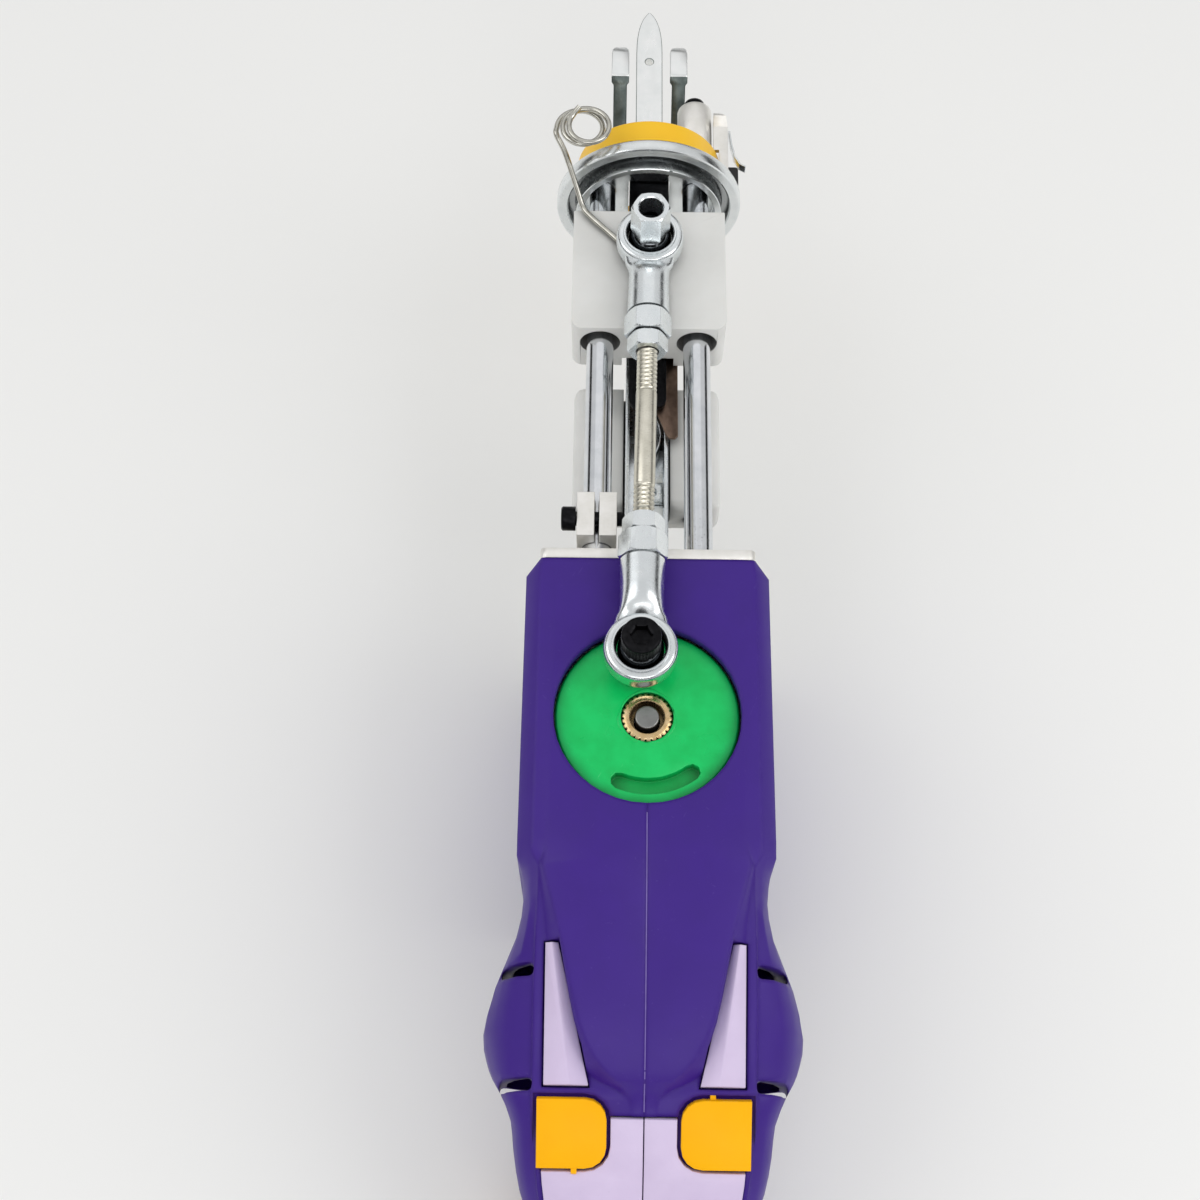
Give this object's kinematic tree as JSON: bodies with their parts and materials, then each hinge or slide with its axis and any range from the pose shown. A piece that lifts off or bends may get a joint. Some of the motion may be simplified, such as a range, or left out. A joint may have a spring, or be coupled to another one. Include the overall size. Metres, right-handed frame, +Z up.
{
  "type": "handheld tufting machine",
  "caption": "Electric handheld tufting machine with a crank-driven hollow needle on guide rods, scissor blades, a ring foot, a coiled yarn guide and a pistol grip.",
  "frame": {"origin": "on the flat underside of the motor box, straight below the crank shaft's axis", "axes": "+Y to the needle's point, +Z up along the crank shaft, +X to the user's right"},
  "size_m": [0.0844, 0.3974, 0.1227],
  "materials": {
    "purple_abs": "moulded ABS, fine satin",
    "lavender_abs": "moulded ABS, satin",
    "yellow_abs": "moulded ABS, satin",
    "orange_abs": "moulded plastic, satin",
    "green_abs": "moulded plastic, satin",
    "white_nylon": "machined nylon",
    "aluminium": "sawn and tumbled",
    "zinc_steel": "bright zinc plate",
    "ground_steel": "ground and polished",
    "stud_steel": "turned, passivated",
    "brass": "turned and knurled",
    "bronze": "bronze-coloured oxide on steel",
    "black_oxide": "black oxide",
    "black_rubber": "black elastomer or black plastic",
    "board_green": "circuit board"
  },
  "bodies": {
    "housing": {"housing_left": "purple_abs", "housing_right": "purple_abs", "wedge_insert_left": "lavender_abs", "wedge_insert_right": "lavender_abs", "rear_panel_left": "lavender_abs", "rear_panel_right": "lavender_abs", "corner_tab_left": "yellow_abs", "corner_tab_right": "yellow_abs", "front_plate": "aluminium", "motor_plate": "aluminium", "motor": "zinc_steel", "speed_board": "board_green", "power_jack": "black_rubber", "trigger_switch": "black_rubber", "lower_rod_left": "ground_steel", "lower_rod_right": "ground_steel", "bump_sleeve_left": "black_rubber", "bump_sleeve_right": "black_rubber", "blade_channel": "zinc_steel", "leaf_spring": "ground_steel", "square_nut": "zinc_steel", "fixed_blade": "ground_steel"},
    "crank": {"crank_wheel": "green_abs", "hub_insert": "brass", "motor_shaft": "ground_steel"},
    "needle_slide": {"slider_block": "white_nylon", "slider_stud": "stud_steel", "stud_nut": "zinc_steel", "front_ball": "ground_steel", "needle_holder": "black_oxide", "needle": "zinc_steel", "yarn_guide": "zinc_steel", "drag_link": "black_oxide"},
    "connecting_rod": {"rod_end_front": "zinc_steel", "rod_end_rear": "zinc_steel", "rear_ball": "ground_steel", "conrod_stud": "stud_steel", "jam_nut_front": "zinc_steel", "jam_nut_rear": "zinc_steel", "crank_screw": "black_oxide", "crank_spacer": "zinc_steel"},
    "cutter_carriage": {"carriage_block": "white_nylon"},
    "moving_blade": {"moving_blade": "ground_steel", "cutter_lever": "bronze"},
    "foot": {"guide_rod_left": "ground_steel", "guide_rod_right": "ground_steel", "rod_clamp": "aluminium", "clamp_screw": "black_oxide", "foot_ring": "zinc_steel", "foot_collar": "orange_abs", "foot_fork": "zinc_steel", "side_bracket": "aluminium", "side_leaf": "zinc_steel", "bumper": "black_rubber", "rod_boss": "aluminium", "boss_cap": "black_oxide"},
    "trigger": {"trigger": "yellow_abs"},
    "lock_button": {"lock_button": "black_rubber"},
    "speed_knob": {"speed_knob": "yellow_abs"}
  },
  "joints": [
    {"name": "crank_turn", "type": "hinge", "parent": "housing", "child": "crank", "pos_m": [0, 0, 0.097], "axis": [0, 0, 1], "range_deg": [0, 172.5]},
    {"name": "needle_stroke", "type": "slide", "parent": "housing", "child": "needle_slide", "axis": [0, 1, 0], "range_m": [-0.02985, 0]},
    {"name": "rod_swing", "type": "hinge", "parent": "needle_slide", "child": "connecting_rod", "pos_m": [0, 0.14685, 0.1071], "axis": [0, 0, 1], "range_deg": [0, 0.9]},
    {"name": "carriage_stroke", "type": "slide", "parent": "housing", "child": "cutter_carriage", "axis": [0, 1, 0], "range_m": [-0.0092, 0]},
    {"name": "blade_pivot", "type": "hinge", "parent": "housing", "child": "moving_blade", "pos_m": [0, 0.1539, 0.0794], "axis": [0, 0, 1], "range_deg": [0, 5.1]},
    {"name": "foot_slide", "type": "slide", "parent": "housing", "child": "foot", "axis": [0, 1, 0], "range_m": [-0.0024, 0.006]},
    {"name": "trigger_pull", "type": "slide", "parent": "housing", "child": "trigger", "axis": [0, -1, 0], "range_m": [0, 0.005], "stiffness_N_per_m": 500, "springref_m": -0.004},
    {"name": "lock_press", "type": "slide", "parent": "housing", "child": "lock_button", "axis": [1, 0, 0], "range_m": [0, 0.0025], "stiffness_N_per_m": 400, "springref_m": -0.003},
    {"name": "speed_turn", "type": "hinge", "parent": "housing", "child": "speed_knob", "pos_m": [-0.02555, -0.1233, 0.015], "axis": [1, 0, 0], "range_deg": [0, 270]}
  ],
  "couplings": [
    {"joint": "crank_turn", "follows": "needle_stroke", "rad_per_m": -100.75},
    {"joint": "rod_swing", "follows": "needle_stroke", "rad_per_m": -0.5101},
    {"joint": "carriage_stroke", "follows": "needle_stroke", "ratio": 0.30151},
    {"joint": "blade_pivot", "follows": "needle_stroke", "rad_per_m": -2.9235}
  ]
}
